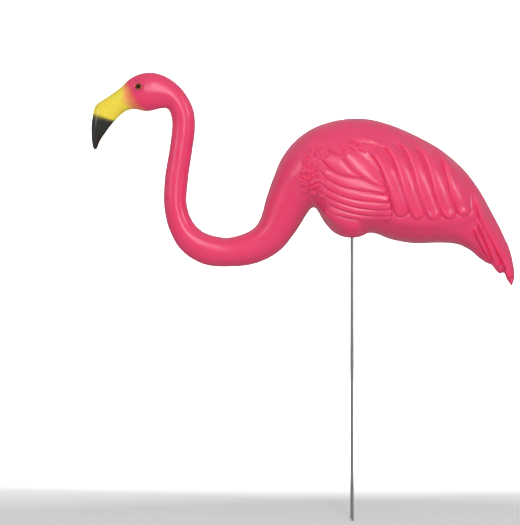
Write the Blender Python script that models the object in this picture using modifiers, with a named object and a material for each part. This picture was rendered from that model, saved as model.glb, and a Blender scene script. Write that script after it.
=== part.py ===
"""Flamingo lawn ornament: one moulded plastic bird with glossy eyes, standing on two steel rods.

Metres, +Z up. The bird faces -X, and its left side faces -Y. Z = 0 is the ground, where the rods
are cut off flat, and X = Y = 0 is midway between them.
"""

import math

import bpy
import numpy as np
from mathutils import Matrix, Vector
from mathutils.bvhtree import BVHTree

# Bird
BIRD_LENGTH = 0.610  # front of the bill to the back of the tail
BODY_WIDTH = 0.134  # across the widest part of the body
BIRD_TRIANGLES = 8700  # faces left after the fine surface is simplified
BODY_STEP = 0.0012  # distance between rings of the fine surface, back to tail
NECK_STEP = 0.0030  # the same on the neck
HEAD_STEP = 0.0013  # the same on the head
SIDE_STEPS = 160  # faces of one ring, back to belly

# Moulded relief, as heights above the body, and the grooves round the feathers
FLIGHT_HEIGHT = 0.0052
LEAF_HEIGHT = 0.0036
STRIP_HEIGHT = 0.0032
COVERT_HEIGHT = 0.0026
SCALE_HEIGHT = 0.0034
TAIL_HEIGHT = 0.0044
THIGH_HEIGHT = 0.0055
SHELF_HEIGHT = 0.0026
GROOVE_DEPTH = 0.0014
GROOVE_WIDTH = 0.0022
WALL_WIDTH = 0.0014
EYE_RING_HEIGHT = 0.0018
EYE_RING_RADIUS = 0.0072
EYE_RING_WIDTH = 0.0021
MOUTH_DEPTH = 0.0010

# Rods
ROD_DIAMETER = 0.0032
ROD_SHOWN = 0.406  # ground to the lowest point of the bird
ROD_INSET = 0.120  # length inside the bird
ROD_SPACING = 0.044
ROD_CLEARANCE = 0.0004
ROD_SIDES = 24

# Bosses that the rods enter, one under each thigh
BOSS_RADIUS = 0.030
BOSS_FLAT = 0.004

# Eyes
EYE_DIAMETER = 0.0096
EYE_RISE = 0.0022
EYE_STEM = 0.0045
EYE_SINK = 0.0003
EYE_CLEARANCE = 0.0003
EYE_SIDES = 20
EYE_STEPS = 5

# Side view of the bird, in thousandths of its length, from the rods and its lowest point. Each row is a
# section: its point on the back or the brow (x, z), its point on the belly or the throat (x, z), its
# half width as a percentage of the body's, how far down the widest place lies, and how square it is,
# where 1 is an ellipse and less is fuller.
SECTIONS = (
    # bill
    (-608, 208, -606, 208, 1.5, 0.5, 1),
    (-610, 211, -603, 210, 4, 0.5, 1),
    (-613, 223, -597, 224, 8, 0.5, 1),
    (-615, 252, -579, 252, 12, 0.5, 1),
    (-613, 280, -557, 279, 15, 0.5, 1),
    (-605, 311, -535, 298, 18, 0.5, 1),
    (-577, 332, -516, 303, 20, 0.5, 1),
    # head
    (-549, 352, -505, 302, 24, 0.5, 1),
    (-525, 374, -491, 299, 28, 0.48, 1),
    (-498, 387, -478, 299, 29, 0.48, 1),
    (-470, 389, -465, 302, 28, 0.48, 1),
    (-438, 379, -451, 305, 26, 0.5, 1),
    # neck
    (-412, 361, -438, 305, 25, 0.5, 1),
    (-389, 333, -430, 297, 24, 0.5, 1),
    (-374, 300, -425, 280, 24, 0.5, 1),
    (-371, 254, -425, 252, 24, 0.5, 1),
    (-377, 207, -431, 207, 24, 0.5, 1),
    (-387, 138, -442, 136, 24, 0.5, 1),
    (-390, 77, -443, 72, 25, 0.5, 1),
    (-376, 38, -431, 19, 26, 0.5, 1),
    (-352, 14, -404, -28, 28, 0.5, 1),
    (-316, 2, -354, -61, 31, 0.5, 1),
    (-279, 2, -283, -68, 33, 0.5, 1),
    (-241, 16, -229, -61, 37, 0.5, 1),
    # breast
    (-217, 43, -172, -32, 43, 0.5, 1),
    (-202, 94, -133, 14, 52, 0.5, 1),
    (-186, 140, -111, 49, 61, 0.5, 1),
    (-166, 187, -97, 68, 71, 0.52, 0.97),
    # body
    (-135, 227, -87, 70, 80, 0.53, 0.94),
    (-94, 257, -79, 60, 86, 0.53, 0.92),
    (-52, 273, -64, 35, 91, 0.52, 0.9),
    (-12, 280, -41, 11, 96, 0.52, 0.88),
    (33, 280, -4, 3, 99, 0.53, 0.86),
    (85, 268, 46, 11, 100, 0.58, 0.85),
    (137, 247, 92, -4, 98, 0.62, 0.83),
    (184, 223, 142, -13, 92, 0.63, 0.82),
    (227, 194, 208, -12, 82, 0.64, 0.82),
    (265, 159, 246, -15, 69, 0.64, 0.84),
    # tail
    (301, 111, 279, -30, 54, 0.63, 0.88),
    (329, 61, 302, -49, 39, 0.6, 0.94),
    (346, 29, 321, -61, 30, 0.56, 1),
    (350, 21, 327, -63, 28, 0.54, 1),
    (364, -9, 345, -82, 20, 0.52, 1),
    (367, -15, 350, -85, 18, 0.52, 1),
    (369, -20, 354, -83, 17, 0.5, 1),
    (379, -55, 366, -99, 12, 0.5, 1),
    (383, -86, 373, -109, 7, 0.5, 1),
    (382, -99, 376, -112, 4, 0.5, 1),
    (379, -109, 378, -112, 1.5, 0.5, 1),
)
BREAST_START = -215
UNIT = BIRD_LENGTH / 1000

# Feathers in the same side view. A line runs from root to tip, as the points that bend a smooth curve.
# A table of three lines is a family: its first, middle and last feather.
FLIGHT = (
    ((29, 212), (86, 181), (96, 118), (112, 66)),
    ((88, 234), (166, 208), (154, 114), (187, 59)),
    ((207, 198), (236, 157), (249, 111), (257, 67)),
)
LOW_LEAF = ((-68, 191), (-42, 171), (-12, 156), (13, 141))
HIGH_LEAF = ((-23, 199), (10, 176), (38, 142), (70, 119))
STRIPS = (
    ((-75, 163), (-39, 120), (22, 125), (68, 109)),
    ((-75, 115), (-32, 82), (26, 73), (80, 73)),
    ((-63, 82), (-29, 44), (32, 46), (79, 49)),
)
LOW_COVERTS = (
    ((-64, 211), (-52, 205), (-41, 199), (-28, 196)),
    ((-27, 220), (-18, 215), (-8, 209), (-1, 202)),
    ((5, 212), (11, 211), (19, 207), (27, 200)),
)
HIGH_COVERTS = (
    ((-17, 235), (-5, 232), (8, 228), (18, 220)),
    ((9, 236), (24, 232), (38, 226), (52, 216)),
    ((34, 232), (50, 225), (66, 217), (81, 205)),
)
SCALES = (
    ((-96, 200), (-125, 179), (-116, 140), (-114, 110)),
    ((-81, 204), (-103, 177), (-107, 135), (-94, 103)),
    ((-66, 208), (-80, 173), (-97, 131), (-73, 96)),
)
TAIL = (
    ((285, 26), (296, 0), (313, -22), (326, -48)),
    ((291, 44), (316, 13), (329, -24), (343, -60)),
    ((289, 104), (303, 34), (362, -17), (374, -88)),
)
THIGH = ((-56, 59), (-40, 41), (-16, 26), (9, 28))
SHELF = ((92, 40), (152, 33), (216, 34), (276, 53))
# Half widths of the feathers at the root, the middle and the tip
TAIL_WIDTHS = ((5, 8, 6), (6, 12, 8), (7, 16, 8))
STRIP_WIDTHS = ((7, 14, 9), (7, 13, 9), (7, 10.5, 9), (7, 8.5, 9), (7, 7.5, 9))
LOW_LEAF_WIDTHS = (12, 19, 5)
HIGH_LEAF_WIDTHS = (10, 21, 5)
LOW_COVERT_WIDTHS = (3, 6, 4)
HIGH_COVERT_WIDTHS = (4, 8, 6)
FLIGHT_WIDTHS = ((7, 19, 18), (7, 19, 18), (7, 19, 18), (7, 20, 18), (7, 23, 18))
SCALE_WIDTHS = (3.6, 4.6, 3.6)
THIGH_WIDTHS = (15, 19, 15)
SHELF_WIDTHS = (22, 26, 20)
MOUTH_WIDTHS = (5, 6, 4)
LOW_COVERT_COUNT = 4
HIGH_COVERT_COUNT = 5
SCALE_COLUMNS = 5
SCALE_ROWS = 9
SCALE_SCATTER = 2.5
SCALE_SEED = 7
MOUTH = ((-603, 216), (-591, 251), (-575, 288), (-542, 323))
EYE_PLACE = (-503, 355)

PINK = (0.80, 0.075, 0.165)
STEEL = (0.42, 0.42, 0.43)
EYE_BROWN = (0.035, 0.016, 0.008)


def clear_scene():
    for obj in list(bpy.data.objects):
        bpy.data.objects.remove(obj, do_unlink=True)


def new_collection(name):
    collection = bpy.data.collections.new(name)
    bpy.context.scene.collection.children.link(collection)
    return collection


def material(name, colour, roughness, metallic=0.0):
    made = bpy.data.materials.new(name)
    made.use_nodes = True
    shader = made.node_tree.nodes["Principled BSDF"]
    shader.inputs["Base Color"].default_value = (*colour, 1.0)
    shader.inputs["Roughness"].default_value = roughness
    shader.inputs["Metallic"].default_value = metallic
    made.diffuse_color = (*colour, 1.0)
    return made


def mesh_object(name, vertices, faces, collection):
    mesh = bpy.data.meshes.new(name)
    mesh.from_pydata(vertices, [], faces)
    mesh.update()
    obj = bpy.data.objects.new(name, mesh)
    collection.objects.link(obj)
    return obj


def smooth(share):
    """0 at 0 and 1 at 1, with no corner at either."""
    share = np.clip(share, 0.0, 1.0)
    return share * share * (3.0 - 2.0 * share)


def ring_step(row):
    if row[0] < EYE_PLACE[0] + 60:
        return HEAD_STEP
    return NECK_STEP if row[0] < BREAST_START else BODY_STEP


def section_rows():
    """The sections, filled in along smooth curves until neighbours are about a step apart."""
    rows = np.array(SECTIONS, float)
    back = np.hypot(*np.diff(rows[:, 0:2], axis=0).T)
    belly = np.hypot(*np.diff(rows[:, 2:4], axis=0).T)
    gap = np.maximum(back, belly)
    slope = np.diff(rows, axis=0) / gap[:, None]
    bend = np.empty_like(rows)
    bend[0] = slope[0]
    bend[-1] = slope[-1]
    weighted = slope[:-1] * gap[1:, None] + slope[1:] * gap[:-1, None]
    bend[1:-1] = weighted / (gap[1:] + gap[:-1])[:, None]
    filled = []
    for i, length in enumerate(gap):
        count = max(2, math.ceil(length * UNIT / ring_step(rows[i + 1])))
        t = (np.arange(count) / count)[:, None]
        start = (1 + 2 * t) * (1 - t) ** 2 * rows[i] + t * (1 - t) ** 2 * length * bend[i]
        end = (3 - 2 * t) * t**2 * rows[i + 1] - (1 - t) * t**2 * length * bend[i + 1]
        filled.append(start + end)
    filled.append(rows[-1:])
    return np.concatenate(filled)


def left_half(rows):
    """Points of the bird's left half as rings x places, each ring from the back round to the belly."""
    angle = np.linspace(0.0, math.pi, SIDE_STEPS + 1)
    cosine = np.cos(angle)[None, :]
    sine = np.clip(np.sin(angle), 0.0, 1.0)[None, :]
    sine[:, [0, -1]] = 0.0
    widest = rows[:, 5:6]
    square = rows[:, 6:7]
    reach = np.abs(cosine) ** square
    down = np.where(cosine > 0, widest * (1 - reach), widest + (1 - widest) * reach)
    points = np.empty((*down.shape, 3))
    points[..., 0] = UNIT * (rows[:, 0:1] + (rows[:, 2:3] - rows[:, 0:1]) * down)
    points[..., 1] = -BODY_WIDTH / 2 * rows[:, 4:5] / 100 * sine**square
    points[..., 2] = UNIT * (rows[:, 1:2] + (rows[:, 3:4] - rows[:, 1:2]) * down)
    return points


def outward(points):
    """Unit normals of the rings x places grid."""
    along = np.gradient(points, axis=0)
    across = np.gradient(points, axis=1)
    normal = np.cross(along, across)
    length = np.linalg.norm(normal, axis=2, keepdims=True)
    normal = normal / np.maximum(length, 1e-12)
    return normal * (-1.0 if normal[len(points) // 2, SIDE_STEPS // 2, 1] > 0 else 1.0)


def curve_points(bends, count=17):
    """Points along the smooth curve that the given points bend."""
    share = np.linspace(0.0, 1.0, count)[:, None]
    lines = [np.array(bend, float)[None, :] * np.ones((count, 1)) for bend in bends]
    while len(lines) > 1:
        lines = [a + (b - a) * share for a, b in zip(lines[:-1], lines[1:])]
    return lines[0]


def family(lines, count):
    """The lines of `count` feathers, from a family's first through its middle to its last."""
    first, middle, last = (np.array(line, float) for line in lines)
    made = []
    for t in np.linspace(0.0, 1.0, count):
        made.append(first * (1 - t) * (1 - 2 * t) + middle * 4 * t * (1 - t) + last * t * (2 * t - 1))
    return made


def on_feather(x, z, line, widths):
    """Where places lie on a feather, for its half widths at the root, the middle and the tip.

    Gives the distance from its line and the offset to its rear side, both in half widths, the share
    of its length, and the half width there.
    """
    path = curve_points(line)
    nearest = np.full(x.shape, 1e18)
    along = np.zeros(x.shape)
    offset = np.zeros(x.shape)
    for i, (a, b) in enumerate(zip(path[:-1], path[1:])):
        run = b - a
        share = np.clip(((x - a[0]) * run[0] + (z - a[1]) * run[1]) / (run @ run), 0, 1)
        off_x = x - a[0] - share * run[0]
        off_z = z - a[1] - share * run[1]
        distance = off_x**2 + off_z**2
        closer = distance < nearest
        nearest = np.where(closer, distance, nearest)
        along = np.where(closer, (i + share) / (len(path) - 1), along)
        offset = np.where(closer, (run[0] * off_z - run[1] * off_x) / math.hypot(*run), offset)
    root, middle, tip = widths
    half = root * (1 - along) * (1 - 2 * along) + middle * 4 * along * (1 - along)
    half += tip * along * (2 * along - 1)
    return np.sqrt(nearest) / half, offset / half, along, half


def near_line(x, z, line, reach):
    """The places within reach of a line's own extent."""
    low = np.min(line, axis=0) - reach
    high = np.max(line, axis=0) + reach
    return (x > low[0]) & (x < high[0]) & (z > low[1]) & (z < high[1])


def swell(height, x, z, line, widths, rise):
    """Adds a soft swelling along a line."""
    near = near_line(x, z, line, max(widths))
    away, _, _, _ = on_feather(x[near], z[near], line, widths)
    height[near] += rise * np.clip(1 - away**2, 0, 1) ** 1.6


def lay_feather(
    height, ground, x, z, line, widths, rise, fade=0.1, lean=(0.6, 0.6), rear=0.7, groove=1.0, blunt=2.0
):
    """Lays a feather over the carving so far, with a groove round its front edge and its tip.

    `lean` moves its crest towards the front edge, at the root and at the tip, `rear` is how softly its
    rear side runs out, `groove` is the depth of its groove as a share of the usual, and `blunt` squares
    its ends, which are round at 2.
    """
    near = near_line(x, z, line, max(widths) + GROOVE_WIDTH / UNIT)
    away, offset, along, half = on_feather(x[near], z[near], line, widths)
    past = np.sqrt(np.clip(away**2 - offset**2, 0, None))
    away = (np.abs(offset) ** blunt + past**blunt) ** (1 / blunt)
    rooted = smooth(along / fade)
    front = smooth(0.5 - 0.7 * offset)
    soft = 0.35 + (1 - front) * (rear - 0.35)
    lean = lean[0] + (lean[1] - lean[0]) * smooth(along)
    inside = np.clip(1 - away**2, 0, 1)
    own = ground[near] + rise * rooted * inside**soft * (1 - lean * offset) / (1 + 0.4 * lean)
    beyond = np.abs(away - 1) * half * UNIT / GROOVE_WIDTH
    cut = groove * GROOVE_DEPTH * rooted * np.maximum(front, 0.5 * smooth((along - 0.6) / 0.3))
    old = height[near] - cut * smooth(1 - beyond)
    covered = smooth((1 - away) * half * UNIT / WALL_WIDTH)
    height[near] = old + covered * np.maximum(own - old, 0)


def add_scales(height, x, z):
    """Adds rows of small uneven lumps, each row set between those of its neighbours."""
    random = np.random.default_rng(SCALE_SEED)
    for column, line in enumerate(family(SCALES, SCALE_COLUMNS)):
        for row, place in enumerate(curve_points(line, 2 * SCALE_ROWS + 1)[column % 2 :: 2]):
            place = place + random.uniform(-SCALE_SCATTER, SCALE_SCATTER, 2)
            angle = math.radians(50 - 5 * row + random.uniform(-25, 25))
            slant = np.array((math.cos(angle), math.sin(angle))) * random.uniform(1.5, 5.0)
            lump = (place - slant, place - slant / 3, place + slant / 3, place + slant)
            swell(height, x, z, lump, SCALE_WIDTHS, SCALE_HEIGHT * random.uniform(0.5, 1.0))


def relief(x, z):
    """Height of the moulded carving at places in the side view."""
    ground = np.zeros(x.shape)
    swell(ground, x, z, SHELF, SHELF_WIDTHS, SHELF_HEIGHT)
    swell(ground, x, z, THIGH, THIGH_WIDTHS, THIGH_HEIGHT)
    height = ground.copy()

    def lay(line, widths, rise, **shape):
        lay_feather(height, ground, x, z, line, widths, rise, **shape)

    for line, widths in zip(family(TAIL, len(TAIL_WIDTHS)), TAIL_WIDTHS):
        lay(line, widths, TAIL_HEIGHT, fade=0.15, lean=(1.0, 1.0), rear=0.9, groove=1.3)
    strips = zip(family(STRIPS, len(STRIP_WIDTHS)), STRIP_WIDTHS)
    for line, widths in reversed(list(strips)):
        lay(line, widths, STRIP_HEIGHT, rear=0.5, blunt=3.0)
    lay(LOW_LEAF, LOW_LEAF_WIDTHS, LEAF_HEIGHT)
    lay(HIGH_LEAF, HIGH_LEAF_WIDTHS, LEAF_HEIGHT)
    for line in family(LOW_COVERTS, LOW_COVERT_COUNT):
        lay(line, LOW_COVERT_WIDTHS, COVERT_HEIGHT, fade=0.3, groove=0.6)
    shape = {"fade": 0.2, "lean": (1.1, 0.3), "rear": 0.9, "groove": 0.8, "blunt": 2.2}
    for line, widths in zip(family(FLIGHT, len(FLIGHT_WIDTHS)), FLIGHT_WIDTHS):
        lay(line, widths, FLIGHT_HEIGHT, **shape)
    for line in family(HIGH_COVERTS, HIGH_COVERT_COUNT):
        lay(line, HIGH_COVERT_WIDTHS, COVERT_HEIGHT, fade=0.4, rear=1.0, groove=0.5)
    add_scales(height, x, z)
    return height


def softened(height):
    """The heights evened out with their neighbours' on the grid, so that no wall falls between places."""
    for _ in range(2):
        padded = np.pad(height, 1, mode="edge")
        height = (padded[:-2, 1:-1] + 2 * padded[1:-1, 1:-1] + padded[2:, 1:-1]) / 4
        padded = np.pad(height, 1, mode="edge")
        height = (padded[1:-1, :-2] + 2 * padded[1:-1, 1:-1] + padded[1:-1, 2:]) / 4
    return height


def head_relief(x, z):
    """The raised ring round the eye and the groove of the closed mouth."""
    distance = np.hypot(x - EYE_PLACE[0], z - EYE_PLACE[1]) * UNIT
    ring = (distance - EYE_RING_RADIUS) / EYE_RING_WIDTH
    away, _, _, _ = on_feather(x, z, MOUTH, MOUTH_WIDTHS)
    return EYE_RING_HEIGHT * smooth(1 - np.abs(ring)) - MOUTH_DEPTH * smooth(1 - away)


def carve(points):
    """Raises the relief on the sides, and draws the bosses down round the rods."""
    normal = outward(points)
    x = points[..., 0] / UNIT
    z = points[..., 2] / UNIT
    facing = smooth((np.abs(normal[..., 1]) - 0.08) / 0.4)
    height = softened(relief(x, z)) + head_relief(x, z)
    carved = points + normal * (height * facing)[..., None]
    away = np.hypot(carved[..., 0], carved[..., 1] + ROD_SPACING / 2)
    pull = 1 - smooth((away - BOSS_FLAT) / (BOSS_RADIUS - BOSS_FLAT))
    pull *= smooth((0.1 - normal[..., 2]) / 0.6)
    carved[..., 2] *= 1 - pull
    carved[:, [0, -1], 1] = 0.0
    carved[..., 2] += ROD_SHOWN
    return carved


def half_faces(rings, places):
    """Faces between rings, and a fan that closes each end. The two end points follow the grid's."""
    faces = []
    for ring in range(rings - 1):
        for place in range(places - 1):
            first = ring * places + place
            faces.append((first, first + places, first + places + 1, first + 1))
    tips = ((0, rings * places), ((rings - 1) * places, rings * places + 1))
    for place in range(places - 1):
        start, tip = tips[0]
        faces.append((start + place + 1, tip, start + place))
        start, tip = tips[1]
        faces.append((start + place, tip, start + place + 1))
    return faces


def add_bird(collection, look):
    """The bird as one fine half, mirrored, then simplified. Returns it and the fine half's surface."""
    points = carve(left_half(section_rows()))
    rings, places, _ = points.shape
    tips = [(points[ring, 0] + points[ring, -1]) / 2 for ring in (0, -1)]
    vertices = [tuple(point) for point in points.reshape(-1, 3)] + [tuple(tip) for tip in tips]
    faces = half_faces(rings, places)
    bird = mesh_object("bird", vertices, faces, collection)
    bird.data.materials.append(look)
    mirror = bird.modifiers.new("Right half", "MIRROR")
    mirror.use_axis = (False, True, False)
    mirror.merge_threshold = 0.00001
    simplify = bird.modifiers.new("Fewer faces", "DECIMATE")
    fine = 2 * sum(len(face) - 2 for face in faces)
    simplify.ratio = BIRD_TRIANGLES / fine
    return bird, BVHTree.FromPolygons(vertices, faces)


def cut(obj, cutter):
    modifier = obj.modifiers.new("Cut " + cutter.name, "BOOLEAN")
    modifier.operation = "DIFFERENCE"
    modifier.solver = "EXACT"
    modifier.object = cutter


def rod(name, radius, low, high, y, sides=ROD_SIDES):
    """An upright cylinder from one height to another."""
    bpy.ops.mesh.primitive_cylinder_add(
        vertices=sides, radius=radius, depth=high - low, location=(0, y, (low + high) / 2)
    )
    obj = bpy.context.active_object
    obj.name = name
    obj.data.name = name
    return obj


def move_to(obj, collection):
    for old in list(obj.users_collection):
        old.objects.unlink(obj)
    collection.objects.link(obj)


def as_cutter(obj, cutters):
    move_to(obj, cutters)
    obj.hide_render = True
    obj.display_type = "WIRE"
    return obj


def add_leg(side, y, bird, collection, cutters, look):
    top = ROD_SHOWN + ROD_INSET
    leg = rod("leg_" + side, ROD_DIAMETER / 2, 0.0, top, y)
    leg.data.materials.append(look)
    move_to(leg, collection)
    socket = rod(
        "leg_socket_" + side,
        ROD_DIAMETER / 2 + ROD_CLEARANCE,
        ROD_SHOWN - BOSS_RADIUS,
        top + ROD_CLEARANCE,
        y,
    )
    cut(bird, as_cutter(socket, cutters))


def turned(name, profile, sides):
    """A shape turned about Z from points of (radius, height), the first and the last on the axis."""
    mesh = bpy.data.meshes.new(name)
    edges = [(i, i + 1) for i in range(len(profile) - 1)]
    mesh.from_pydata([(radius, 0, height) for radius, height in profile], edges, [])
    obj = bpy.data.objects.new(name, mesh)
    screw = obj.modifiers.new("Turn", "SCREW")
    screw.steps = sides
    screw.render_steps = sides
    screw.use_merge_vertices = True
    screw.merge_threshold = 0.00001
    screw.use_normal_flip = True
    return obj


def eye_profile():
    radius = EYE_DIAMETER / 2
    ball = (radius**2 + EYE_RISE**2) / (2 * EYE_RISE)
    spread = math.asin(radius / ball)
    dome = []
    for i in range(EYE_STEPS):
        angle = spread * (1 - i / EYE_STEPS)
        dome.append((ball * math.sin(angle), ball * math.cos(angle) - ball + EYE_RISE))
    return [(0, -EYE_STEM), (radius, -EYE_STEM), *dome, (0, EYE_RISE)]


def add_eye(side, sign, surface, bird, collection, cutters, look):
    """An eye set square to the head where a sideways line through its place meets the surface."""
    start = Vector((EYE_PLACE[0] * UNIT, -BODY_WIDTH, EYE_PLACE[1] * UNIT + ROD_SHOWN))
    place, normal, _, _ = surface.ray_cast(start, Vector((0, 1, 0)))
    if normal.y > 0:
        normal = -normal
    place = place - normal * EYE_SINK
    place.y *= sign
    normal.y *= sign
    stand = Matrix.Translation(place) @ Vector((0, 0, 1)).rotation_difference(normal).to_matrix().to_4x4()
    eye = turned("eye_" + side, eye_profile(), EYE_SIDES)
    eye.data.materials.append(look)
    collection.objects.link(eye)
    eye.matrix_world = stand
    floor = -EYE_STEM - EYE_CLEARANCE
    wall = EYE_DIAMETER / 2 + EYE_CLEARANCE
    socket = turned(
        "eye_socket_" + side,
        [(0, floor), (wall, floor), (wall, EYE_DIAMETER), (0, EYE_DIAMETER)],
        EYE_SIDES,
    )
    collection.objects.link(socket)
    socket.matrix_world = stand
    cut(bird, as_cutter(socket, cutters))


def main():
    clear_scene()
    ornament = new_collection("flamingo_lawn_ornament")
    cutters = new_collection("cutters")
    bird, surface = add_bird(ornament, material("pink plastic", PINK, 0.42))
    steel = material("steel rod", STEEL, 0.35, 1.0)
    brown = material("eye plastic", EYE_BROWN, 0.12)
    for side, sign in (("left", 1), ("right", -1)):
        add_leg(side, -sign * ROD_SPACING / 2, bird, ornament, cutters, steel)
        add_eye(side, sign, surface, bird, ornament, cutters, brown)


main()
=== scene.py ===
"""Looks of the flamingo lawn ornament: its moulded surface, paint, eyes, rods, floor, light and camera."""

import math

import bmesh
import bpy
import numpy as np
from mathutils import Matrix, Vector
from mathutils.bvhtree import BVHTree


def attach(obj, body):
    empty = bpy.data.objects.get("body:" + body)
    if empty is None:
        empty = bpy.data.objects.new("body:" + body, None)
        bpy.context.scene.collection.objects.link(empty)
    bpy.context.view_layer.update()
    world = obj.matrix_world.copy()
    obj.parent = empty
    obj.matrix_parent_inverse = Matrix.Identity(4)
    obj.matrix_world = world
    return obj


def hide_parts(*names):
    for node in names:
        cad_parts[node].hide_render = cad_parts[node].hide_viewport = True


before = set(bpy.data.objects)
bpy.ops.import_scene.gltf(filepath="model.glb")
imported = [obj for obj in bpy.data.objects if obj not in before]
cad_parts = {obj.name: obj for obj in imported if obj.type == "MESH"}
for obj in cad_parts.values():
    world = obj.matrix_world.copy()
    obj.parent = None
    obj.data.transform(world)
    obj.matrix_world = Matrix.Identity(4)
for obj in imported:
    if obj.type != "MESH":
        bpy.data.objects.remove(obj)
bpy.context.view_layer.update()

# The bird's sizes, as the solid has them
BIRD_LENGTH = 0.610
BODY_WIDTH = 0.134
FLIGHT_HEIGHT = 0.0052
LEAF_HEIGHT = 0.0036
STRIP_HEIGHT = 0.0032
COVERT_HEIGHT = 0.0026
SCALE_HEIGHT = 0.0034
TAIL_HEIGHT = 0.0044
THIGH_HEIGHT = 0.0055
SHELF_HEIGHT = 0.0026
GROOVE_DEPTH = 0.0014
GROOVE_WIDTH = 0.0022
WALL_WIDTH = 0.0014
EYE_RING_HEIGHT = 0.0018
EYE_RING_RADIUS = 0.0072
EYE_RING_WIDTH = 0.0021
MOUTH_DEPTH = 0.0010
ROD_DIAMETER = 0.0032
ROD_SHOWN = 0.406
ROD_INSET = 0.120
ROD_SPACING = 0.044
ROD_CLEARANCE = 0.0004
BOSS_RADIUS = 0.030
BOSS_FLAT = 0.004
EYE_DIAMETER = 0.0096
EYE_RISE = 0.0022
EYE_STEM = 0.0045
EYE_SINK = 0.0003
EYE_CLEARANCE = 0.0003

# Fineness of the shown surface
BODY_STEP = 0.0007
NECK_STEP = 0.0026
HEAD_STEP = 0.0007
SIDE_STEPS = 320
SEAM_HEIGHT = 0.00022
SEAM_WIDTH = 0.0009
BIRD_TRIANGLES = 184000
SOCKET_SIDES = 48
EYE_SIDES = 64
EYE_DOME_STEPS = 16
UNIT = BIRD_LENGTH / 1000

# The bird's sections and feather lines, as in the solid: thousandths of its length in the side view,
# from the rods and its lowest point. A section is its point on the back or the brow (x, z), its point
# on the belly or the throat (x, z), its half width as a percentage of the body's, how far down the
# widest place lies, and how square it is.
SECTIONS = (
    # bill
    (-608, 208, -606, 208, 1.5, 0.5, 1),
    (-610, 211, -603, 210, 4, 0.5, 1),
    (-613, 223, -597, 224, 8, 0.5, 1),
    (-615, 252, -579, 252, 12, 0.5, 1),
    (-613, 280, -557, 279, 15, 0.5, 1),
    (-605, 311, -535, 298, 18, 0.5, 1),
    (-577, 332, -516, 303, 20, 0.5, 1),
    # head
    (-549, 352, -505, 302, 24, 0.5, 1),
    (-525, 374, -491, 299, 28, 0.48, 1),
    (-498, 387, -478, 299, 29, 0.48, 1),
    (-470, 389, -465, 302, 28, 0.48, 1),
    (-438, 379, -451, 305, 26, 0.5, 1),
    # neck
    (-412, 361, -438, 305, 25, 0.5, 1),
    (-389, 333, -430, 297, 24, 0.5, 1),
    (-374, 300, -425, 280, 24, 0.5, 1),
    (-371, 254, -425, 252, 24, 0.5, 1),
    (-377, 207, -431, 207, 24, 0.5, 1),
    (-387, 138, -442, 136, 24, 0.5, 1),
    (-390, 77, -443, 72, 25, 0.5, 1),
    (-376, 38, -431, 19, 26, 0.5, 1),
    (-352, 14, -404, -28, 28, 0.5, 1),
    (-316, 2, -354, -61, 31, 0.5, 1),
    (-279, 2, -283, -68, 33, 0.5, 1),
    (-241, 16, -229, -61, 37, 0.5, 1),
    # breast
    (-217, 43, -172, -32, 43, 0.5, 1),
    (-202, 94, -133, 14, 52, 0.5, 1),
    (-186, 140, -111, 49, 61, 0.5, 1),
    (-166, 187, -97, 68, 71, 0.52, 0.97),
    # body
    (-135, 227, -87, 70, 80, 0.53, 0.94),
    (-94, 257, -79, 60, 86, 0.53, 0.92),
    (-52, 273, -64, 35, 91, 0.52, 0.9),
    (-12, 280, -41, 11, 96, 0.52, 0.88),
    (33, 280, -4, 3, 99, 0.53, 0.86),
    (85, 268, 46, 11, 100, 0.58, 0.85),
    (137, 247, 92, -4, 98, 0.62, 0.83),
    (184, 223, 142, -13, 92, 0.63, 0.82),
    (227, 194, 208, -12, 82, 0.64, 0.82),
    (265, 159, 246, -15, 69, 0.64, 0.84),
    # tail
    (301, 111, 279, -30, 54, 0.63, 0.88),
    (329, 61, 302, -49, 39, 0.6, 0.94),
    (346, 29, 321, -61, 30, 0.56, 1),
    (350, 21, 327, -63, 28, 0.54, 1),
    (364, -9, 345, -82, 20, 0.52, 1),
    (367, -15, 350, -85, 18, 0.52, 1),
    (369, -20, 354, -83, 17, 0.5, 1),
    (379, -55, 366, -99, 12, 0.5, 1),
    (383, -86, 373, -109, 7, 0.5, 1),
    (382, -99, 376, -112, 4, 0.5, 1),
    (379, -109, 378, -112, 1.5, 0.5, 1),
)
# Where the head and the neck end along the back
HEAD_END = -443
NECK_END = -215
# Each family of feathers as its first, middle and last line, from the root to the tip
FLIGHT = (
    ((29, 212), (86, 181), (96, 118), (112, 66)),
    ((88, 234), (166, 208), (154, 114), (187, 59)),
    ((207, 198), (236, 157), (249, 111), (257, 67)),
)
LOW_LEAF = ((-68, 191), (-42, 171), (-12, 156), (13, 141))
HIGH_LEAF = ((-23, 199), (10, 176), (38, 142), (70, 119))
STRIPS = (
    ((-75, 163), (-39, 120), (22, 125), (68, 109)),
    ((-75, 115), (-32, 82), (26, 73), (80, 73)),
    ((-63, 82), (-29, 44), (32, 46), (79, 49)),
)
LOW_COVERTS = (
    ((-64, 211), (-52, 205), (-41, 199), (-28, 196)),
    ((-27, 220), (-18, 215), (-8, 209), (-1, 202)),
    ((5, 212), (11, 211), (19, 207), (27, 200)),
)
HIGH_COVERTS = (
    ((-17, 235), (-5, 232), (8, 228), (18, 220)),
    ((9, 236), (24, 232), (38, 226), (52, 216)),
    ((34, 232), (50, 225), (66, 217), (81, 205)),
)
SCALES = (
    ((-96, 200), (-125, 179), (-116, 140), (-114, 110)),
    ((-81, 204), (-103, 177), (-107, 135), (-94, 103)),
    ((-66, 208), (-80, 173), (-97, 131), (-73, 96)),
)
TAIL = (
    ((285, 26), (296, 0), (313, -22), (326, -48)),
    ((291, 44), (316, 13), (329, -24), (343, -60)),
    ((289, 104), (303, 34), (362, -17), (374, -88)),
)
THIGH = ((-56, 59), (-40, 41), (-16, 26), (9, 28))
SHELF = ((92, 40), (152, 33), (216, 34), (276, 53))
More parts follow.
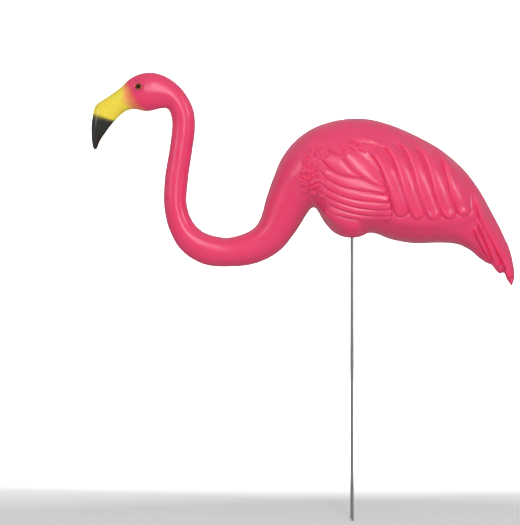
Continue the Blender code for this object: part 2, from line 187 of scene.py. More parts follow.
# Half widths of the feathers at the root, the middle and the tip
TAIL_WIDTHS = ((5, 8, 6), (6, 12, 8), (7, 16, 8))
STRIP_WIDTHS = ((7, 14, 9), (7, 13, 9), (7, 10.5, 9), (7, 8.5, 9), (7, 7.5, 9))
LOW_LEAF_WIDTHS = (12, 19, 5)
HIGH_LEAF_WIDTHS = (10, 21, 5)
LOW_COVERT_WIDTHS = (3, 6, 4)
HIGH_COVERT_WIDTHS = (4, 8, 6)
FLIGHT_WIDTHS = ((7, 19, 18), (7, 19, 18), (7, 19, 18), (7, 20, 18), (7, 23, 18))
SCALE_WIDTHS = (3.6, 4.6, 3.6)
THIGH_WIDTHS = (15, 19, 15)
SHELF_WIDTHS = (22, 26, 20)
MOUTH_WIDTHS = (5, 6, 4)
LOW_COVERT_COUNT = 4
HIGH_COVERT_COUNT = 5
SCALE_COLUMNS = 5
SCALE_ROWS = 9
SCALE_SCATTER = 2.5
SCALE_SEED = 7
# The slant of the first row's lumps in degrees, what each row takes off it, and how far one may stray
SCALE_SLANT = 50
SCALE_SLANT_STEP = 5
SCALE_SLANT_SCATTER = 25
SCALE_HALF_LENGTHS = (1.5, 5.0)
SCALE_SHARES = (0.5, 1.0)
# How each family's feathers are laid, where they differ from lay_feather's usual
TAIL_SHAPE = {"fade": 0.15, "lean": (1.0, 1.0), "rear": 0.9, "groove": 1.3}
STRIP_SHAPE = {"rear": 0.5, "blunt": 3.0}
LOW_COVERT_SHAPE = {"fade": 0.3, "groove": 0.6}
FLIGHT_SHAPE = {"fade": 0.2, "lean": (1.1, 0.3), "rear": 0.9, "groove": 0.8, "blunt": 2.2}
HIGH_COVERT_SHAPE = {"fade": 0.4, "rear": 1.0, "groove": 0.5}
# How square to the side a place is where the carving starts, and the run to its full height
CARVING_START = 0.08
CARVING_RUN = 0.4
# The same for a place that looks down, and is drawn towards a boss
BOSS_START = 0.1
BOSS_RUN = 0.6
MOUTH = ((-603, 216), (-591, 251), (-575, 288), (-542, 323))
EYE_PLACE = (-503, 355)
# The shown mouth loses this share of its depth, from a share of its length on and over a further share.
MOUTH_LOSS = 0.7
MOUTH_LOSS_START = 0.55
MOUTH_LOSS_RUN = 0.2
# The nostril's slit is too fine for the solid.
NOSTRIL = ((-596, 301), (-584, 309), (-568, 318), (-552, 326))
NOSTRIL_WIDTHS = (1.6, 2.4, 1.6)
NOSTRIL_DEPTH = 0.0009

# The photograph's frame: its pixel in metres, the place where the rods enter the bird, and its size
PIXEL = 0.00144
LEG_PIXEL = (352.0, 237.6)
FRAME_SIZE = (520, 525)
CAMERA_DISTANCE = 4.0
CAMERA_FAR = 50.0
SENSOR = 36.0


def from_pixel(across, down):
    """The x and z of a place seen at a pixel of the photograph."""
    return (across - LEG_PIXEL[0]) * PIXEL, ROD_SHOWN + (LEG_PIXEL[1] - down) * PIXEL


def smooth(share):
    """0 at 0 and 1 at 1, with no corner at either."""
    share = np.clip(share, 0.0, 1.0)
    return share * share * (3.0 - 2.0 * share)


def ring_step(row):
    """The step between rings near a section. The plain neck needs fewer rings."""
    if row[0] < HEAD_END:
        return HEAD_STEP
    return NECK_STEP if row[0] < NECK_END else BODY_STEP


def section_rows():
    """The sections, filled in along smooth curves until neighbours are about a step apart."""
    rows = np.array(SECTIONS, float)
    back = np.hypot(*np.diff(rows[:, 0:2], axis=0).T)
    belly = np.hypot(*np.diff(rows[:, 2:4], axis=0).T)
    gap = np.maximum(back, belly)
    slope = np.diff(rows, axis=0) / gap[:, None]
    bend = np.empty_like(rows)
    bend[0] = slope[0]
    bend[-1] = slope[-1]
    weighted = slope[:-1] * gap[1:, None] + slope[1:] * gap[:-1, None]
    bend[1:-1] = weighted / (gap[1:] + gap[:-1])[:, None]
    filled = []
    for i, length in enumerate(gap):
        count = max(2, math.ceil(length * UNIT / ring_step(rows[i + 1])))
        t = (np.arange(count) / count)[:, None]
        start = (1 + 2 * t) * (1 - t) ** 2 * rows[i] + t * (1 - t) ** 2 * length * bend[i]
        end = (3 - 2 * t) * t**2 * rows[i + 1] - (1 - t) * t**2 * length * bend[i + 1]
        filled.append(start + end)
    filled.append(rows[-1:])
    return np.concatenate(filled)


def left_half(rows):
    """Points of the bird's left half as rings x places, each ring from the back round to the belly."""
    angle = np.linspace(0.0, math.pi, SIDE_STEPS + 1)
    cosine = np.cos(angle)[None, :]
    sine = np.clip(np.sin(angle), 0.0, 1.0)[None, :]
    sine[:, [0, -1]] = 0.0
    widest = rows[:, 5:6]
    square = rows[:, 6:7]
    reach = np.abs(cosine) ** square
    down = np.where(cosine > 0, widest * (1 - reach), widest + (1 - widest) * reach)
    points = np.empty((*down.shape, 3))
    points[..., 0] = UNIT * (rows[:, 0:1] + (rows[:, 2:3] - rows[:, 0:1]) * down)
    points[..., 1] = -BODY_WIDTH / 2 * rows[:, 4:5] / 100 * sine**square
    points[..., 2] = UNIT * (rows[:, 1:2] + (rows[:, 3:4] - rows[:, 1:2]) * down)
    return points


def outward(points):
    """Unit normals of the rings x places grid."""
    along = np.gradient(points, axis=0)
    across = np.gradient(points, axis=1)
    normal = np.cross(along, across)
    length = np.linalg.norm(normal, axis=2, keepdims=True)
    normal = normal / np.maximum(length, 1e-12)
    return normal * (-1.0 if normal[len(points) // 2, SIDE_STEPS // 2, 1] > 0 else 1.0)


def curve_points(bends, count=17):
    """Points along the smooth curve that the given points bend."""
    share = np.linspace(0.0, 1.0, count)[:, None]
    lines = [np.array(bend, float)[None, :] * np.ones((count, 1)) for bend in bends]
    while len(lines) > 1:
        lines = [a + (b - a) * share for a, b in zip(lines[:-1], lines[1:])]
    return lines[0]


def family(lines, count):
    """The lines of `count` feathers, from a family's first through its middle to its last."""
    first, middle, last = (np.array(line, float) for line in lines)
    made = []
    for t in np.linspace(0.0, 1.0, count):
        made.append(first * (1 - t) * (1 - 2 * t) + middle * 4 * t * (1 - t) + last * t * (2 * t - 1))
    return made


def on_feather(x, z, line, widths):
    """Where places lie on a feather, for its half widths at the root, the middle and the tip.

    Gives the distance from its line and the offset to its rear side, both in half widths, the share
    of its length, and the half width there.
    """
    path = curve_points(line)
    nearest = np.full(x.shape, 1e18)
    along = np.zeros(x.shape)
    offset = np.zeros(x.shape)
    for i, (a, b) in enumerate(zip(path[:-1], path[1:])):
        run = b - a
        share = np.clip(((x - a[0]) * run[0] + (z - a[1]) * run[1]) / (run @ run), 0, 1)
        off_x = x - a[0] - share * run[0]
        off_z = z - a[1] - share * run[1]
        distance = off_x**2 + off_z**2
        closer = distance < nearest
        nearest = np.where(closer, distance, nearest)
        along = np.where(closer, (i + share) / (len(path) - 1), along)
        offset = np.where(closer, (run[0] * off_z - run[1] * off_x) / math.hypot(*run), offset)
    root, middle, tip = widths
    half = root * (1 - along) * (1 - 2 * along) + middle * 4 * along * (1 - along)
    half += tip * along * (2 * along - 1)
    return np.sqrt(nearest) / half, offset / half, along, half


def near_line(x, z, line, reach):
    """The places within reach of a line's own extent."""
    low = np.min(line, axis=0) - reach
    high = np.max(line, axis=0) + reach
    return (x > low[0]) & (x < high[0]) & (z > low[1]) & (z < high[1])


def swell(height, x, z, line, widths, rise):
    """Adds a soft swelling along a line."""
    near = near_line(x, z, line, max(widths))
    away, _, _, _ = on_feather(x[near], z[near], line, widths)
    height[near] += rise * np.clip(1 - away**2, 0, 1) ** 1.6


def lay_feather(
    height, ground, x, z, line, widths, rise, fade=0.1, lean=(0.6, 0.6), rear=0.7, groove=1.0, blunt=2.0
):
    """Lays a feather over the carving so far, with a groove round its front edge and its tip.

    `lean` moves its crest towards the front edge, at the root and at the tip, `rear` is how softly its
    rear side runs out, `groove` is the depth of its groove as a share of the usual, and `blunt` squares
    its ends, which are round at 2.
    """
    near = near_line(x, z, line, max(widths) + GROOVE_WIDTH / UNIT)
    away, offset, along, half = on_feather(x[near], z[near], line, widths)
    past = np.sqrt(np.clip(away**2 - offset**2, 0, None))
    away = (np.abs(offset) ** blunt + past**blunt) ** (1 / blunt)
    rooted = smooth(along / fade)
    front = smooth(0.5 - 0.7 * offset)
    steep = 0.35
    soft = steep + (1 - front) * (rear - steep)
    lean = lean[0] + (lean[1] - lean[0]) * smooth(along)
    inside = np.clip(1 - away**2, 0, 1)
    own = ground[near] + rise * rooted * inside**soft * (1 - lean * offset) / (1 + 0.4 * lean)
    beyond = np.abs(away - 1) * half * UNIT / GROOVE_WIDTH
    at_tip = 0.5 * smooth((along - 0.6) / 0.3)
    cut = groove * GROOVE_DEPTH * rooted * np.maximum(front, at_tip)
    old = height[near] - cut * smooth(1 - beyond)
    covered = smooth((1 - away) * half * UNIT / WALL_WIDTH)
    height[near] = old + covered * np.maximum(own - old, 0)


def add_scales(height, x, z):
    """Adds rows of small uneven lumps, each row set between those of its neighbours."""
    random = np.random.default_rng(SCALE_SEED)
    for column, line in enumerate(family(SCALES, SCALE_COLUMNS)):
        for row, place in enumerate(curve_points(line, 2 * SCALE_ROWS + 1)[column % 2 :: 2]):
            place = place + random.uniform(-SCALE_SCATTER, SCALE_SCATTER, 2)
            stray = random.uniform(-SCALE_SLANT_SCATTER, SCALE_SLANT_SCATTER)
            angle = math.radians(SCALE_SLANT - SCALE_SLANT_STEP * row + stray)
            slant = np.array((math.cos(angle), math.sin(angle))) * random.uniform(*SCALE_HALF_LENGTHS)
            lump = (place - slant, place - slant / 3, place + slant / 3, place + slant)
            swell(height, x, z, lump, SCALE_WIDTHS, SCALE_HEIGHT * random.uniform(*SCALE_SHARES))


def relief(x, z):
    """Height of the moulded carving at places in the side view."""
    ground = np.zeros(x.shape)
    swell(ground, x, z, SHELF, SHELF_WIDTHS, SHELF_HEIGHT)
    swell(ground, x, z, THIGH, THIGH_WIDTHS, THIGH_HEIGHT)
    height = ground.copy()

    def lay(line, widths, rise, **shape):
        lay_feather(height, ground, x, z, line, widths, rise, **shape)

    for line, widths in zip(family(TAIL, len(TAIL_WIDTHS)), TAIL_WIDTHS):
        lay(line, widths, TAIL_HEIGHT, **TAIL_SHAPE)
    strips = zip(family(STRIPS, len(STRIP_WIDTHS)), STRIP_WIDTHS)
    for line, widths in reversed(list(strips)):
        lay(line, widths, STRIP_HEIGHT, **STRIP_SHAPE)
    lay(LOW_LEAF, LOW_LEAF_WIDTHS, LEAF_HEIGHT)
    lay(HIGH_LEAF, HIGH_LEAF_WIDTHS, LEAF_HEIGHT)
    for line in family(LOW_COVERTS, LOW_COVERT_COUNT):
        lay(line, LOW_COVERT_WIDTHS, COVERT_HEIGHT, **LOW_COVERT_SHAPE)
    for line, widths in zip(family(FLIGHT, len(FLIGHT_WIDTHS)), FLIGHT_WIDTHS):
        lay(line, widths, FLIGHT_HEIGHT, **FLIGHT_SHAPE)
    for line in family(HIGH_COVERTS, HIGH_COVERT_COUNT):
        lay(line, HIGH_COVERT_WIDTHS, COVERT_HEIGHT, **HIGH_COVERT_SHAPE)
    add_scales(height, x, z)
    return height


def softened(height):
    """The heights evened out with their neighbours' on the grid, so that no wall falls between places."""
    for _ in range(2):
        padded = np.pad(height, 1, mode="edge")
        height = (padded[:-2, 1:-1] + 2 * padded[1:-1, 1:-1] + padded[2:, 1:-1]) / 4
        padded = np.pad(height, 1, mode="edge")
        height = (padded[1:-1, :-2] + 2 * padded[1:-1, 1:-1] + padded[1:-1, 2:]) / 4
    return height


def head_relief(x, z):
    """The raised ring round the eye, the groove of the closed mouth and the nostril's slit."""
    distance = np.hypot(x - EYE_PLACE[0], z - EYE_PLACE[1]) * UNIT
    ring = (distance - EYE_RING_RADIUS) / EYE_RING_WIDTH
    away, _, along, _ = on_feather(x, z, MOUTH, MOUTH_WIDTHS)
    slit, _, _, _ = on_feather(x, z, NOSTRIL, NOSTRIL_WIDTHS)
    loss = MOUTH_LOSS * smooth((along - MOUTH_LOSS_START) / MOUTH_LOSS_RUN)
    grooves = MOUTH_DEPTH * smooth(1 - away) * (1 - loss) + NOSTRIL_DEPTH * smooth(1 - slit)
    return EYE_RING_HEIGHT * smooth(1 - np.abs(ring)) - grooves


def carve(points):
    """Raises the relief on the sides, and draws the bosses down round the rods."""
    normal = outward(points)
    x = points[..., 0] / UNIT
    z = points[..., 2] / UNIT
    facing = smooth((np.abs(normal[..., 1]) - CARVING_START) / CARVING_RUN)
    height = softened(relief(x, z)) + head_relief(x, z)
    seam = SEAM_HEIGHT * np.clip(1 - (points[..., 1] / SEAM_WIDTH) ** 2, 0, 1)
    carved = points + normal * (height * facing + seam)[..., None]
    away = np.hypot(carved[..., 0], carved[..., 1] + ROD_SPACING / 2)
    pull = 1 - smooth((away - BOSS_FLAT) / (BOSS_RADIUS - BOSS_FLAT))
    pull *= smooth((BOSS_START - normal[..., 2]) / BOSS_RUN)
    carved[..., 2] *= 1 - pull
    carved[:, [0, -1], 1] = 0.0
    carved[..., 2] += ROD_SHOWN
    return carved


def shade(obj, degrees):
    """Smooth shading, with the edges of more than this many degrees left sharp."""
    obj.data.shade_smooth()
    obj.data.set_sharp_from_angle(angle=math.radians(degrees))


def half_faces(rings, places):
    """Faces between rings, and a fan that closes each end. The two end points follow the grid's."""
    ring, place = np.meshgrid(np.arange(rings - 1), np.arange(places - 1), indexing="ij")
    first = (ring * places + place).ravel()
    quads = np.stack([first, first + places, first + places + 1, first + 1], axis=1)
    faces = quads.tolist()
    last = (rings - 1) * places
    for place in range(places - 1):
        faces.append([place + 1, rings * places, place])
        faces.append([last + place, rings * places + 1, last + place + 1])
    return faces


def new_object(name, mesh):
    obj = bpy.data.objects.new(name, mesh)
    bpy.context.scene.collection.objects.link(obj)
    return obj


def cylinder(name, radius, low, high, y, sides=32):
    """An upright cylinder from one height to another."""
    bpy.ops.mesh.primitive_cylinder_add(
        vertices=sides, radius=radius, depth=high - low, location=(0, y, (low + high) / 2)
    )
    obj = bpy.context.active_object
    obj.name = name
    return obj


def turned(name, profile, sides):
    """A shape turned about Z from points of (radius, height), the first and the last on the axis."""
    mesh = bpy.data.meshes.new(name)
    edges = [(i, i + 1) for i in range(len(profile) - 1)]
    mesh.from_pydata([(radius, 0, height) for radius, height in profile], edges, [])
    obj = new_object(name, mesh)
    screw = obj.modifiers.new("Turn", "SCREW")
    screw.steps = sides
    screw.render_steps = sides
    screw.use_merge_vertices = True
    screw.merge_threshold = 0.00001
    screw.use_normal_flip = True
    return obj


def applied(obj):
    """Replaces an object's mesh by what its modifiers make of it."""
    bpy.context.view_layer.update()
    graph = bpy.context.evaluated_depsgraph_get()
    made = bpy.data.meshes.new_from_object(obj.evaluated_get(graph))
    obj.modifiers.clear()
    obj.data = made
    return obj


def cut_away(obj, cutters):
    """Cuts each cutter's shape out of the object and deletes the cutters."""
    for cutter in cutters:
        modifier = obj.modifiers.new("Cut", "BOOLEAN")
        modifier.operation = "DIFFERENCE"
        modifier.solver = "EXACT"
        modifier.object = cutter
    applied(obj)
    for cutter in cutters:
        bpy.data.objects.remove(cutter, do_unlink=True)


def eye_stands(surface):
    """Where each eye stands: a matrix whose Z is square to the head."""
    start = Vector((EYE_PLACE[0] * UNIT, -BODY_WIDTH, EYE_PLACE[1] * UNIT + ROD_SHOWN))
    place, normal, _, _ = surface.ray_cast(start, Vector((0, 1, 0)))
    if normal.y > 0:
        normal = -normal
    place = place - normal * EYE_SINK
    stands = {}
    for side, sign in (("left", 1), ("right", -1)):
        at = Vector((place.x, place.y * sign, place.z))
        out = Vector((normal.x, normal.y * sign, normal.z))
        turn = Vector((0, 0, 1)).rotation_difference(out).to_matrix().to_4x4()
        stands[side] = Matrix.Translation(at) @ turn
    return stands


def flatten_open_edge(mesh):
    """Puts a half's open edge exactly in the plane that it is mirrored across."""
    half = bmesh.new()
    half.from_mesh(mesh)
    for edge in half.edges:
        if edge.is_boundary:
            for corner in edge.verts:
                corner.co.y = 0
    half.to_mesh(mesh)
    half.free()


def make_bird():
    """The bird's fine surface, with its sockets, and where its eyes stand."""
    points = carve(left_half(section_rows()))
    rings, places, _ = points.shape
    tips = [(points[ring, 0] + points[ring, -1]) / 2 for ring in (0, -1)]
    vertices = np.concatenate([points.reshape(-1, 3), tips]).tolist()
    faces = half_faces(rings, places)
    mesh = bpy.data.meshes.new("flamingo_body")
    mesh.from_pydata(vertices, [], faces)
    bird = new_object("flamingo_body", mesh)
    simplify = bird.modifiers.new("Fewer faces", "DECIMATE")
    simplify.ratio = min(1.0, BIRD_TRIANGLES / (4 * len(faces)))
    applied(bird)
    flatten_open_edge(bird.data)
    mirror = bird.modifiers.new("Right half", "MIRROR")
    mirror.use_axis = (False, True, False)
    mirror.merge_threshold = 0.00001
    applied(bird)
    stands = eye_stands(BVHTree.FromPolygons(vertices, faces))
    cutters = []
    for sign in (-1, 1):
        radius = ROD_DIAMETER / 2 + ROD_CLEARANCE
        top = ROD_SHOWN + ROD_INSET + ROD_CLEARANCE
        cutters.append(cylinder("rod_socket", radius, ROD_SHOWN - BOSS_RADIUS, top, sign * ROD_SPACING / 2))
    floor = -EYE_STEM - EYE_CLEARANCE
    wall = EYE_DIAMETER / 2 + EYE_CLEARANCE
    for stand in stands.values():
        profile = [(0, floor), (wall, floor), (wall, EYE_DIAMETER), (0, EYE_DIAMETER)]
        socket = turned("eye_socket", profile, SOCKET_SIDES)
        socket.matrix_world = stand
        cutters.append(socket)
    cut_away(bird, cutters)
    shade(bird, 55)
    return bird, stands


def make_eye(side, stand):
    """An eye: a stem with a bevelled foot, and a dome that is part of a ball."""
    radius = EYE_DIAMETER / 2
    ball = (radius**2 + EYE_RISE**2) / (2 * EYE_RISE)
    spread = math.asin(radius / ball)
    profile = [(0, -EYE_STEM), (radius * 0.96, -EYE_STEM), (radius, -EYE_STEM * 0.9)]
    for i in range(EYE_DOME_STEPS + 1):
        angle = spread * (1 - i / EYE_DOME_STEPS)
        profile.append((ball * math.sin(angle), ball * math.cos(angle) - ball + EYE_RISE))
    profile[-1] = (0, EYE_RISE)
    eye = turned("flamingo_eye_" + side, profile, EYE_SIDES)
    applied(eye)
    eye.matrix_world = stand
    shade(eye, 50)
    return eye


class Nodes:
    """Short calls for building one material's nodes."""

    def __init__(self, name):
        self.material = bpy.data.materials.new(name)
        self.material.use_nodes = True
        self.tree = self.material.node_tree
        self.shader = self.tree.nodes["Principled BSDF"]

    def node(self, kind, **settings):
        made = self.tree.nodes.new(kind)
        for key, value in settings.items():
            setattr(made, key, value)
        return made

    def link(self, source, target):
        self.tree.links.new(source, target)

    def coordinates(self):
        return self.node("ShaderNodeTexCoord").outputs["Object"]

    def noise(self, scale, detail=2.0, rough=0.5, stretch=None):
        made = self.node("ShaderNodeTexNoise")
        made.inputs["Scale"].default_value = scale
        made.inputs["Detail"].default_value = detail
        made.inputs["Roughness"].default_value = rough
        source = self.coordinates()
        if stretch:
            mapping = self.node("ShaderNodeMapping")
            mapping.inputs["Scale"].default_value = stretch
            self.link(source, mapping.inputs["Vector"])
            source = mapping.outputs["Vector"]
        self.link(source, made.inputs["Vector"])
        return made.outputs["Fac"]

    def between(self, low, high, factor):
        """A factor of 0 to 1, spread from low to high."""
        return self.math("MULTIPLY_ADD", factor, high - low, low)

    def math(self, operation, a, b=None, c=None):
        made = self.node("ShaderNodeMath", operation=operation)
        for socket, value in zip(made.inputs, (a, b, c)):
            if value is None:
                continue
            if isinstance(value, (int, float)):
                socket.default_value = value
            else:
                self.link(value, socket)
        return made.outputs[0]

    def ramp(self, factor, stops, smooth_steps=True):
        made = self.node("ShaderNodeValToRGB")
        ramp = made.color_ramp
        ramp.interpolation = "EASE" if smooth_steps else "LINEAR"
        while len(ramp.elements) < len(stops):
            ramp.elements.new(0.5)
        for element, (position, colour) in zip(ramp.elements, stops):
            element.position = position
            element.color = (*colour, 1.0)
        self.link(factor, made.inputs["Fac"])
        return made.outputs["Color"]

    def mix(self, factor, a, b):
        made = self.node("ShaderNodeMix", data_type="RGBA")
        for socket, value in ((made.inputs[0], factor), (made.inputs[6], a), (made.inputs[7], b)):
            if isinstance(value, (int, float)):
                socket.default_value = value
            elif isinstance(value, tuple):
                socket.default_value = (*value, 1.0)
            else:
                self.link(value, socket)
        return made.outputs[2]

    def bump(self, height, distance, strength=1.0, after=None):
        made = self.node("ShaderNodeBump")
        made.inputs["Distance"].default_value = distance
        made.inputs["Strength"].default_value = strength
        self.link(height, made.inputs["Height"])
        if after:
            self.link(after, made.inputs["Normal"])
        return made.outputs["Normal"]


PINK = (0.81, 0.058, 0.172)
PINK_DEEP = (0.77, 0.045, 0.142)
SALMON = (0.78, 0.14, 0.10)
ORANGE = (0.84, 0.29, 0.10)
PEACH = (0.88, 0.48, 0.12)
YELLOW = (0.88, 0.72, 0.065)
BILL_BLACK = (0.024, 0.024, 0.020)
PUPIL = (0.004, 0.002, 0.001)
EYE_BROWN = (0.050, 0.018, 0.004)
EYE_DARK = (0.006, 0.002, 0.001)
EYE_AMBER = (0.40, 0.15, 0.035)
STEEL_SHADES = ((0.30, (0.26, 0.255, 0.25)), (0.55, (0.42, 0.415, 0.41)), (0.75, (0.56, 0.56, 0.57)))
PAPER = (0.90, 0.90, 0.90)

# The bill's paint, in pixels of the photograph, measured across and down. Its rear edge runs back on
# the way down from the brow, more so between SAG_START and SAG_END below it, and gets softer.
BROW = 85.0
REAR_EDGE = 126.3
REAR_EDGE_LEAN = 0.24
REAR_EDGE_LAST = 144.0
SAG = 0.10
SAG_START = 16.0
SAG_END = 28.0
SOFTNESS = 4.0
SOFTNESS_GAIN = 0.42
SOFTNESS_LEAST = 3.0
SOFTNESS_MOST = 11.0
# The black starts at a slanting line, with an edge that is softest at the front of the bill.
BLACK_EDGE = 91.0
BLACK_SLANT = 0.27
BLACK_SOFTNESS = 38.0
BLACK_SOFTNESS_LOSS = 0.30
BLACK_SOFTNESS_LEAST = 5.5
BLACK_SPRAY = 0.6
BILL_END = 135.0


def plastic_material():
    """Pink plastic, with the bill sprayed yellow over an orange edge, and its tip sprayed black."""
    n = Nodes("flamingo plastic")
    split = n.node("ShaderNodeSeparateXYZ")
    n.link(n.coordinates(), split.inputs[0])
    across = n.math("MULTIPLY_ADD", split.outputs["X"], 1 / PIXEL, LEG_PIXEL[0])
    down = n.math("MULTIPLY_ADD", split.outputs["Z"], -1 / PIXEL, LEG_PIXEL[1] + ROD_SHOWN / PIXEL)
    drift = n.between(-2.5, 2.5, n.noise(90, 3))
    speck = n.between(-1.5, 1.5, n.noise(1500, 2))
    spray = n.math("ADD", drift, speck)
    mottled = n.mix(n.math("MULTIPLY", n.noise(14, 4, 0.6), 0.45), PINK, PINK_DEEP)
    # The orange starts high on the brow and widens down to the throat.
    low = n.math("SUBTRACT", down, BROW)
    sag = n.math("MAXIMUM", n.math("SUBTRACT", low, SAG_START), 0.0)
    sag = n.math("MINIMUM", sag, SAG_END - SAG_START)
    edge = n.math("MULTIPLY_ADD", low, REAR_EDGE_LEAN, REAR_EDGE)
    edge = n.math("ADD", edge, n.math("MULTIPLY", n.math("MULTIPLY", sag, sag), SAG))
    edge = n.math("MINIMUM", edge, REAR_EDGE_LAST)
    half = n.math("MAXIMUM", n.math("MULTIPLY_ADD", low, SOFTNESS_GAIN, SOFTNESS), SOFTNESS_LEAST)
    half = n.math("MINIMUM", half, SOFTNESS_MOST)
    rear = n.math("ADD", n.math("SUBTRACT", across, edge), spray)
    rear_share = n.math("MULTIPLY_ADD", n.math("DIVIDE", rear, half), 0.5, 0.5)
    stops = [(0.06, YELLOW), (0.28, PEACH), (0.48, ORANGE), (0.72, SALMON), (0.95, PINK)]
    is_pink = n.ramp(rear_share, [(0.66, (0, 0, 0)), (0.99, (1, 1, 1))])
    head = n.mix(is_pink, n.ramp(rear_share, stops, smooth_steps=False), mottled)
    lean = n.math("MULTIPLY_ADD", across, -BLACK_SLANT, down)
    tip = n.math("ADD", n.math("SUBTRACT", lean, BLACK_EDGE), n.math("MULTIPLY", spray, BLACK_SPRAY))
    width = n.math("MULTIPLY_ADD", across, -BLACK_SOFTNESS_LOSS, BLACK_SOFTNESS)
    width = n.math("MAXIMUM", width, BLACK_SOFTNESS_LEAST)
    # The neck and the body lie as low as the bill's tip, so the black is kept to the front.
    front = n.math("LESS_THAN", across, BILL_END)
    tip_share = n.math("MULTIPLY", n.math("ADD", n.math("DIVIDE", tip, width), 0.5), front)
    grey = [(0.04, 0.0), (0.30, 0.50), (0.55, 0.88), (0.90, 1.0)]
    is_black = n.ramp(tip_share, [(place, (value,) * 3) for place, value in grey], smooth_steps=False)
    n.link(n.mix(is_black, head, BILL_BLACK), n.shader.inputs["Base Color"])
    pink_rough = n.between(0.21, 0.29, n.noise(40, 3))
    black_rough = n.between(0.08, 0.20, n.noise(500, 2, 0.5, (1, 1, 0.15)))
    n.link(n.mix(is_black, pink_rough, black_rough), n.shader.inputs["Roughness"])
    n.shader.inputs["Specular IOR Level"].default_value = 0.55
    n.shader.inputs["Subsurface Weight"].default_value = 0.75
    n.shader.inputs["Subsurface Radius"].default_value = (1.0, 0.07, 0.09)
    n.shader.inputs["Subsurface Scale"].default_value = 0.016
    wavy = n.bump(n.noise(70, 2), 0.0006, 0.5)
    n.link(n.bump(n.noise(900, 3), 0.00012, 0.6, wavy), n.shader.inputs["Normal"])
    return n.material


def eye_material():
    """A dark glossy eye, brown between its pupil and its rim, with amber at the edge."""
    n = Nodes("eye plastic")
    split = n.node("ShaderNodeSeparateXYZ")
    n.link(n.coordinates(), split.inputs[0])
    x = split.outputs["X"]
    y = split.outputs["Y"]
    away = n.math("SQRT", n.math("ADD", n.math("MULTIPLY", x, x), n.math("MULTIPLY", y, y)))
    share = n.math("MULTIPLY_ADD", away, 2 / EYE_DIAMETER, n.math("MULTIPLY", n.noise(900, 3), 0.08))
    stops = [(0.28, PUPIL), (0.48, EYE_BROWN), (0.70, EYE_DARK), (0.90, EYE_AMBER)]
    n.link(n.ramp(share, stops), n.shader.inputs["Base Color"])
    n.link(n.between(0.05, 0.11, n.noise(300, 2)), n.shader.inputs["Roughness"])
    n.shader.inputs["Specular IOR Level"].default_value = 0.05
    n.shader.inputs["Coat Weight"].default_value = 0.25
    n.shader.inputs["Coat Roughness"].default_value = 0.04
    return n.material


def steel_material():
    """Drawn steel rod: fine lines along it, duller patches and faint zinc bloom."""
    n = Nodes("drawn steel")
    lines = n.noise(60, 4, 0.7, (60, 60, 1))
    bloom = n.noise(55, 5, 0.65)
    tone = n.math("MULTIPLY_ADD", lines, 0.5, n.math("MULTIPLY", bloom, 0.5))
    n.link(n.ramp(tone, STEEL_SHADES), n.shader.inputs["Base Color"])
    n.shader.inputs["Metallic"].default_value = 1.0
    n.link(n.between(0.25, 0.50, bloom), n.shader.inputs["Roughness"])
    n.link(n.bump(lines, 0.00008, 0.5), n.shader.inputs["Normal"])
    return n.material


def paper_material():
    """Matt pale paper with a barely uneven tone."""
    n = Nodes("studio paper")
    lighter = tuple(value + 0.02 for value in PAPER)
    n.link(n.mix(n.between(0.49, 0.51, n.noise(30, 3)), PAPER, lighter), n.shader.inputs["Base Color"])
    n.shader.inputs["Roughness"].default_value = 0.9
    return n.material


def make_stage():
    """A pale floor that sweeps up into the backdrop."""
    half = 9.0
    front = -9.0
    bend = 6.5
    radius = 1.2
    height = 5.0
    steps = 12
    profile = [(front, 0.0), (bend, 0.0)]
    for i in range(1, steps + 1):
        angle = math.pi / 2 * i / steps
        profile.append((bend + radius * math.sin(angle), radius * (1 - math.cos(angle))))
    profile.append((bend + radius, height))
    vertices = [(x, y, z) for y, z in profile for x in (-half, half)]
    faces = [(2 * i, 2 * i + 1, 2 * i + 3, 2 * i + 2) for i in range(len(profile) - 1)]
    mesh = bpy.data.meshes.new("studio_sweep")
    mesh.from_pydata(vertices, [], faces)
    mesh.shade_smooth()
    sweep = new_object("studio_sweep", mesh)
    sweep.data.materials.append(paper_material())
    # The stage is only looked at: it neither lights the bird from behind nor shuts out the world's light.
    sweep.visible_diffuse = False
    sweep.visible_glossy = False
    sweep.visible_shadow = False


def area_light(name, place, target, width, height, power):
    """A rectangular light at a place, turned to its target."""
    light = bpy.data.lights.new(name, "AREA")
    light.shape = "RECTANGLE"
    light.size = width
    light.size_y = height
    light.energy = power
    obj = new_object(name, light)
    obj.location = place
    aim = Vector(target) - Vector(place)
    obj.rotation_euler = aim.to_track_quat("-Z", "Y").to_euler()
    return obj


def eased_range(tree, source, start, end, low, high):
    """Goes softly from low to high while the source goes from start to end."""
    made = tree.nodes.new("ShaderNodeMapRange")
    made.interpolation_type = "SMOOTHSTEP"
    for name, value in (("From Min", start), ("From Max", end), ("To Min", low), ("To Max", high)):
        made.inputs[name].default_value = value
    tree.links.new(source, made.inputs["Value"])
    return made.outputs["Result"]


def make_world():
    """Soft light from all round, stronger from the camera's side and from above."""
    world = bpy.data.worlds.new("studio")
    bpy.context.scene.world = world
    world.use_nodes = True
    tree = world.node_tree
    coordinates = tree.nodes.new("ShaderNodeTexCoord")
    split = tree.nodes.new("ShaderNodeSeparateXYZ")
    tree.links.new(coordinates.outputs["Generated"], split.inputs[0])
    strength = tree.nodes.new("ShaderNodeMath")
    strength.operation = "ADD"
    front = eased_range(tree, split.outputs["Y"], 0.35, -0.95, 0.30, 0.38)
    above = eased_range(tree, split.outputs["Z"], -0.25, 0.60, 0.0, 0.20)
    tree.links.new(front, strength.inputs[0])
    tree.links.new(above, strength.inputs[1])
    background = tree.nodes["Background"]
    background.inputs["Color"].default_value = (1, 1, 1, 1)
    tree.links.new(strength.outputs[0], background.inputs["Strength"])


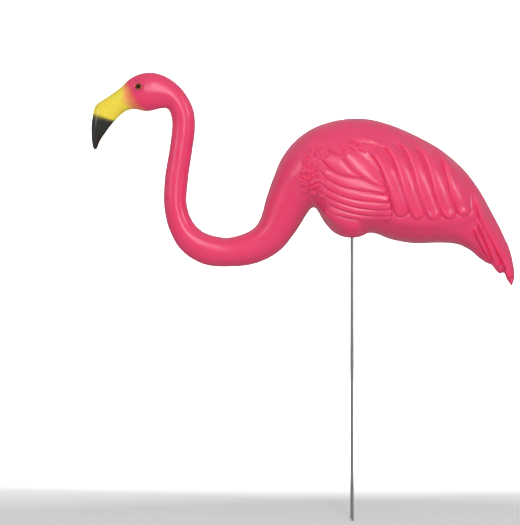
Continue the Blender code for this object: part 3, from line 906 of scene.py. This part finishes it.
def make_light():
    """Soft boxes on the camera's side, two lights on the backdrop, and the world's own light."""
    middle = (0.0, 0.0, 0.45)
    area_light("tall soft box", (0.2, -2.8, 1.65), middle, 0.3, 2.3, 27)
    area_light("right soft box", (2.3, -1.6, 1.5), middle, 0.6, 0.8, 10)
    area_light("left soft box", (-2.4, -1.6, 1.2), middle, 0.5, 1.0, 6)
    # The low fill stands for the light that a table returns, and leaves no bright patch of its own.
    low_fill = area_light("low fill", (0.0, -2.6, -0.6), middle, 1.4, 1.4, 25)
    low_fill.visible_camera = False
    low_fill.visible_glossy = False
    # These two face away from the bird, and light only the backdrop behind it.
    area_light("backdrop left", (-1.9, 1.5, 1.5), (-0.5, 5.0, 0.5), 1.2, 1.2, 420)
    area_light("backdrop right", (1.9, 1.5, 1.5), (0.5, 5.0, 0.5), 1.2, 1.2, 420)
    make_world()


def make_camera():
    """The camera looks level along +Y, with the bird where the photograph has it."""
    centre_x, centre_z = from_pixel(FRAME_SIZE[0] / 2, FRAME_SIZE[1] / 2)
    data = bpy.data.cameras.new("camera")
    data.sensor_fit = "HORIZONTAL"
    data.sensor_width = SENSOR
    data.lens = SENSOR * CAMERA_DISTANCE / (FRAME_SIZE[0] * PIXEL)
    data.clip_end = CAMERA_FAR
    camera = new_object("camera", data)
    camera.location = (centre_x, -CAMERA_DISTANCE, centre_z)
    camera.rotation_euler = (math.pi / 2, 0, 0)
    bpy.context.scene.camera = camera


def dress():
    """Puts the fine bird and eyes in the place of their nodes, and gives the rods their steel."""
    bird, stands = make_bird()
    bird.data.materials.clear()
    bird.data.materials.append(plastic_material())
    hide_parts("bird")
    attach(bird, "root")
    gloss = eye_material()
    for side, stand in stands.items():
        eye = make_eye(side, stand)
        eye.data.materials.append(gloss)
        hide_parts("eye_" + side)
        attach(eye, "root")
    steel = steel_material()
    for node in ("leg_left", "leg_right"):
        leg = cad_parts[node]
        leg.data.materials.clear()
        leg.data.materials.append(steel)
        shade(leg, 40)


dress()
make_stage()
make_light()
make_camera()
bpy.context.scene.view_settings.view_transform = "Standard"
